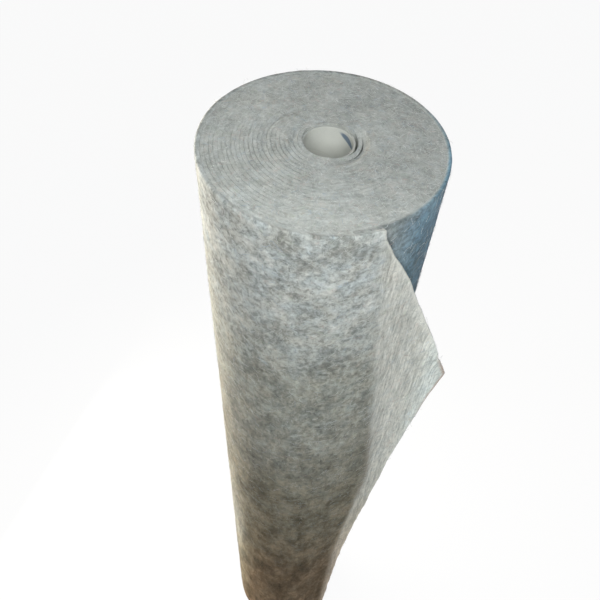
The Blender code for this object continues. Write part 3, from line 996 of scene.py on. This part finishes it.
# Lumps some 18 mm across and waves some 170 mm long stand out of the felt's outer face.
surface, given = new_tree("felt_surface", ("Lumps", "Slow Waves"), Finish="Material")
place = add_node(
    surface, "GeometryNodeInputNamedAttribute", ("felt_place",), data_type="FLOAT_VECTOR"
)
lumps = add_node(surface, "ShaderNodeTexNoise", {"Vector": place, "Scale": 55.0, "Detail": 1.0})
lumps = add_node(surface, "ShaderNodeMath", (lumps, given["Lumps"]), operation="MULTIPLY")
waves = add_node(surface, "ShaderNodeTexNoise", {"Vector": place, "Scale": 6.0, "Detail": 1.0})
waves = add_node(surface, "ShaderNodeMath", (waves, given["Slow Waves"]), operation="MULTIPLY")
outside = add_node(surface, "GeometryNodeInputNamedAttribute", ("outside",))
raised = add_node(surface, "ShaderNodeMath", (lumps, waves), operation="ADD")
raised = add_node(surface, "ShaderNodeMath", (raised, outside), operation="MULTIPLY")
normal = add_node(surface, "GeometryNodeInputNormal")
outwards = add_node(
    surface, "ShaderNodeVectorMath", {0: normal, "Scale": raised}, operation="SCALE"
)
lumpy = add_node(
    surface, "GeometryNodeSetPosition", {"Geometry": given["Geometry"], "Offset": outwards}
)
finish_tree(surface, lumpy, given["Finish"])


def even_steps(low, high, step=0.006):
    """Evenly spaced values from low to high, about a step apart."""
    count = max(1, round((high - low) / step))
    return [low + (high - low) * k / count for k in range(count + 1)]


lap_angle = (under_lap - hinge_bearing) * end_radius
back_turn = sheet_piece("back_half_turn", lambda drop: even_steps(lap_angle, butt_line))
front_steps = even_steps(butt_line, even_from)
loose_end = sheet_piece(
    "loose_end",
    lambda drop: front_steps
    + [
        even_from + (cut_line(drop) - even_from) * k / cut_columns
        for k in range(1, cut_columns + 1)
    ],
)
roughness = {"Lumps": 0.0009, "Slow Waves": 0.0016, "Finish": grey_felt}
back_turn = run_tree(back_turn, surface, roughness)
loose_end = run_tree(loose_end, surface, roughness)


# Single fibres that stand out of the felt after needling and handling: crimped polyester staple,
# off-white, grey and now and then tinted, because the felt is made from mixed fibre.


def fibre():
    """Polyester staple: off-white to grey, some of it tinted, with a faint sheen."""
    made, tree, shader = new_finish("polyester_fibre")
    own = add_node(tree, "ShaderNodeAttribute", output="Fac", attribute_name="own")
    staple = add_node(tree, "ShaderNodeValToRGB", (own,))
    set_stops(
        staple,
        (
            (0.0, "#cdd0cb"), (0.35, "#bcbfba"), (0.62, "#dfe1dd"), (0.84, "#a3a59f"),
            (0.91, "#bfa9a0"), (0.95, "#9fb1c1"), (0.98, "#a0ad97"),
        ),
        "CONSTANT",
    )
    # Towards the foot the fibres are browner, partly with soil and partly as painted shade.
    place = add_node(tree, "ShaderNodeTexCoord", output="Object")
    height = add_node(tree, "ShaderNodeSeparateXYZ", (place,), output=2)
    low = add_node(tree, "ShaderNodeMapRange", (height, 1.3, 0.3), interpolation_type="SMOOTHSTEP")
    soiled_and_shaded = add_node(
        tree, "ShaderNodeMix", {0: low, 6: staple, 7: "#87755c"}, output=2, data_type="RGBA",
        blend_type="MULTIPLY",
    )
    tree.links.new(soiled_and_shaded, shader.inputs["Base Color"])
    shader.inputs["Roughness"].default_value = 0.7
    shader.inputs["Specular IOR Level"].default_value = 0.3
    return made


polyester_fibre = fibre()


pile, given = new_tree(
    "standing_fibres",
    ("Density", "Length", "Fibre Width", "Stand Off", "Lowest"),
    Seed="Int",
    Finish="Material",
)
outside = add_node(pile, "GeometryNodeInputNamedAttribute", ("outside",))
outside = add_node(pile, "ShaderNodeMath", (outside, given["Lowest"]), operation="GREATER_THAN")
outer_faces = add_node(
    pile, "GeometryNodeSeparateGeometry", {"Geometry": given["Geometry"], "Selection": outside},
    output="Selection", domain="FACE",
)
scattered = add_node(
    pile, "GeometryNodeDistributePointsOnFaces",
    {"Mesh": outer_faces, "Density": given["Density"], "Seed": given["Seed"]},
    output=None, distribute_method="RANDOM",
)
own = add_node(pile, "FunctionNodeRandomValue", {2: 0.0, 3: 1.0, "Seed": given["Seed"]}, output=1)
marked = add_node(
    pile, "GeometryNodeStoreNamedAttribute",
    {"Geometry": scattered["Points"], "Name": "own", "Value": own},
)
marked = add_node(
    pile, "GeometryNodeStoreNamedAttribute",
    {"Geometry": marked, "Name": "outwards", "Value": scattered["Normal"]},
    data_type="FLOAT_VECTOR",
)
fibre_end = add_node(pile, "ShaderNodeMath", (given["Length"], 0.5), operation="MULTIPLY")
fibre_start = add_node(pile, "ShaderNodeMath", (fibre_end, -1), operation="MULTIPLY")
fibre_end = add_node(pile, "ShaderNodeCombineXYZ", (fibre_end,))
fibre_start = add_node(pile, "ShaderNodeCombineXYZ", (fibre_start,))
straight = add_node(
    pile, "GeometryNodeCurvePrimitiveLine", {"Start": fibre_start, "End": fibre_end}
)
parted = add_node(pile, "GeometryNodeResampleCurve", {"Curve": straight, "Count": 5}, mode="COUNT")
any_turn = add_node(pile, "FunctionNodeRandomValue", {2: 0.0, 3: full_turn, "Seed": 3}, output=1)
any_turn = add_node(pile, "FunctionNodeAxisAngleToRotation", {"Axis": (0, 0, 1), "Angle": any_turn})
turned = add_node(
    pile, "FunctionNodeRotateRotation", {0: scattered["Rotation"], 1: any_turn},
    rotation_space="LOCAL",
)
any_length = add_node(pile, "FunctionNodeRandomValue", {2: 0.45, 3: 1.25, "Seed": 5}, output=1)
laid = add_node(
    pile, "GeometryNodeInstanceOnPoints",
    {"Points": marked, "Instance": parted, "Rotation": turned, "Scale": any_length},
)
real = add_node(pile, "GeometryNodeRealizeInstances", {0: laid})
own = add_node(pile, "GeometryNodeInputNamedAttribute", ("own",))
outwards = add_node(
    pile, "GeometryNodeInputNamedAttribute", ("outwards",), data_type="FLOAT_VECTOR"
)
here = add_node(pile, "GeometryNodeInputPosition")
aside = add_node(pile, "ShaderNodeCombineXYZ", (own, own, own))
own_place = add_node(pile, "ShaderNodeVectorMath", (here, aside), operation="ADD")
crimp = add_node(
    pile, "ShaderNodeTexNoise", {"Vector": own_place, "Scale": 150.0, "Detail": 1.0}, output="Color"
)
crimp = add_node(pile, "ShaderNodeVectorMath", (crimp, (0.5, 0.5, 0.5)), operation="SUBTRACT")
crimp_size = add_node(pile, "ShaderNodeMath", (given["Length"], 0.9), operation="MULTIPLY")
crimp = add_node(pile, "ShaderNodeVectorMath", {0: crimp, "Scale": crimp_size}, operation="SCALE")
# The crimp, some 7 mm long, is kept in the surface, and only the stand-off lifts a fibre from it.
out_of_surface = add_node(pile, "ShaderNodeVectorMath", (crimp, outwards), operation="PROJECT")
in_surface = add_node(pile, "ShaderNodeVectorMath", (crimp, out_of_surface), operation="SUBTRACT")
stand_off = add_node(
    pile, "ShaderNodeTexNoise", {"Vector": own_place, "Scale": 210.0, "Detail": 0.0}
)
stand_off = add_node(pile, "ShaderNodeMath", (stand_off, given["Stand Off"]), operation="MULTIPLY")
lift = add_node(pile, "ShaderNodeVectorMath", {0: outwards, "Scale": stand_off}, operation="SCALE")
step = add_node(pile, "ShaderNodeVectorMath", (in_surface, lift), operation="ADD")
bent = add_node(pile, "GeometryNodeSetPosition", {"Geometry": real, "Offset": step})
radius = add_node(pile, "ShaderNodeMath", (given["Fibre Width"], 0.5), operation="MULTIPLY")
thread = add_node(pile, "GeometryNodeCurvePrimitiveCircle", {"Resolution": 3, "Radius": radius})
threads = add_node(
    pile, "GeometryNodeCurveToMesh", {"Curve": bent, "Profile Curve": thread, "Fill Caps": True}
)
finish_tree(pile, threads, given["Finish"])


def fibres_on(felt_piece, name, values):
    """A separate piece of fibres on a piece of felt."""
    piece = bpy.data.objects.new(name, felt_piece.data.copy())
    bpy.context.scene.collection.objects.link(piece)
    made = run_tree(piece, pile, {"Finish": polyester_fibre, **values})
    return made


lying = {"Length": 0.012, "Fibre Width": 0.00025, "Stand Off": 0.0012, "Lowest": 0.5}
back_fibres = fibres_on(back_turn, "back_fibres", {**lying, "Density": 6000.0, "Seed": 11})
end_fibres = fibres_on(loose_end, "loose_end_fibres", {**lying, "Density": 6000.0, "Seed": 12})
end_face_fibres = fibres_on(
    inner_turns,
    "end_face_fibres",
    {"Length": 0.006, "Fibre Width": 0.00022, "Stand Off": 0.0007, "Lowest": 0.7,
     "Density": 110000.0, "Seed": 13},
)
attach(end_face_fibres, "roll")
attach(back_turn, "roll")
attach(back_fibres, "roll")
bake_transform(loose_end)
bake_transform(end_fibres)
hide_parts("free_end")
end_drops = even_steps(0, roll_height, 0.002)
end_area = sum(cut_line(drop) - butt_line for drop in end_drops) / len(end_drops) * roll_height
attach(inner_turns, "roll")


# The room: a pale floor, soft studio light, and a camera two metres up that looks steeply down.

floor_reach = 12.0
floor_mesh = bpy.data.meshes.new("floor")
floor_mesh.from_pydata(
    [
        (-floor_reach, -floor_reach, 0),
        (floor_reach, -floor_reach, 0),
        (floor_reach, floor_reach, 0),
        (-floor_reach, floor_reach, 0),
    ],
    [],
    [(0, 1, 2, 3)],
)
floor = bpy.data.objects.new("floor", floor_mesh)
bpy.context.scene.collection.objects.link(floor)


def white_to_camera(tree, kind, lit, white_share, end):
    """Makes the camera see white, by a share, in place of a lit shader. What the roll sees stays
    as it is lit."""
    white = add_node(tree, kind, {"Color": (1, 1, 1, 1), "Strength": 1.0})
    seen = add_node(tree, "ShaderNodeLightPath", output="Is Camera Ray")
    seen = add_node(tree, "ShaderNodeMath", (seen, white_share), operation="MULTIPLY")
    both = add_node(tree, "ShaderNodeMixShader", {0: seen, 1: lit, 2: white})
    tree.links.new(both, tree.nodes[end].inputs[0])


# The floor keeps enough of its own light to show the roll's shadow.
white_floor, tree, shader = new_finish("white_floor")
shader.inputs["Base Color"].default_value = linear("#f2f2f0")
shader.inputs["Roughness"].default_value = 0.9
shader.inputs["Specular IOR Level"].default_value = 0.0
white_to_camera(tree, "ShaderNodeEmission", shader.outputs[0], 0.94, "Material Output")
floor_mesh.materials.append(white_floor)

world = bpy.data.worlds.new("studio")
bpy.context.scene.world = world
world.use_nodes = True
sky = world.node_tree.nodes["Background"]
sky.inputs["Color"].default_value = linear("#e4eefd")
sky.inputs["Strength"].default_value = 0.21
white_to_camera(world.node_tree, "ShaderNodeBackground", sky.outputs[0], 1.0, "World Output")


def soft_lamp(name, bearing, away, height, aim_height, watts, colour):
    """A square soft lamp on a bearing from the roll, turned to face the roll's axis."""
    lamp = bpy.data.lights.new(name, "AREA")
    lamp.shape = "SQUARE"
    lamp.size = 0.7
    lamp.energy = watts
    lamp.color = linear(colour)[:3]
    stand = bpy.data.objects.new(name, lamp)
    stand.location = axis + on_bearing(away, math.radians(bearing)) + Vector((0, 0, height))
    aim = axis + Vector((0, 0, aim_height)) - stand.location
    stand.rotation_euler = aim.to_track_quat("-Z", "Y").to_euler()
    stand.visible_camera = False
    bpy.context.scene.collection.objects.link(stand)


# Name, bearing, distance, height, the height aimed at, watts and colour. The first lights the end
# face and the front, the next two the left edge and the foot, and the last two fill the shade.
for lamp_row in (
    ("upper_front_lamp", 0, 0.80, 2.20, 1.2, 12.3, "#f8fbfd"),
    ("left_lamp", -130, 0.80, 1.40, 1.1, 26, "#fff5e6"),
    ("lower_left_lamp", -105, 0.80, 0.42, 0.32, 11, "#fff6ea"),
    ("back_lamp", 172, 0.90, 0.90, 0.9, 6, "#f6f7f8"),
    ("right_lamp", 44, 0.90, 0.90, 0.9, 2.0, "#e4f0ff"),
):
    soft_lamp(*lamp_row)

# The camera, fitted to the roll's outline. Its place is given in radii of the roll, in front of
# the axis and above the top.
camera_front, camera_above = 3.951, 3.086
camera_data = bpy.data.cameras.new("camera")
camera_data.sensor_width = 36
camera_data.lens = 37.75
camera = bpy.data.objects.new("camera", camera_data)
yaw, pitch, tilt = (math.radians(a) for a in (-1.54, 52.1, 4.02))
ahead = Vector(
    (math.sin(yaw) * math.cos(pitch), math.cos(yaw) * math.cos(pitch), -math.sin(pitch))
)
right = Vector((math.cos(yaw), -math.sin(yaw), 0))
up = right.cross(ahead)
turned_right = right * math.cos(tilt) + up * math.sin(tilt)
turned_up = up * math.cos(tilt) - right * math.sin(tilt)
camera_place = axis + Vector(
    (0, -camera_front * roll_radius, roll_height + camera_above * roll_radius)
)
camera_turn = Matrix((turned_right, turned_up, -ahead)).transposed().to_4x4()
camera.matrix_world = Matrix.Translation(camera_place) @ camera_turn
bpy.context.scene.collection.objects.link(camera)
bpy.context.scene.camera = camera
bpy.context.scene.view_settings.view_transform = "Standard"
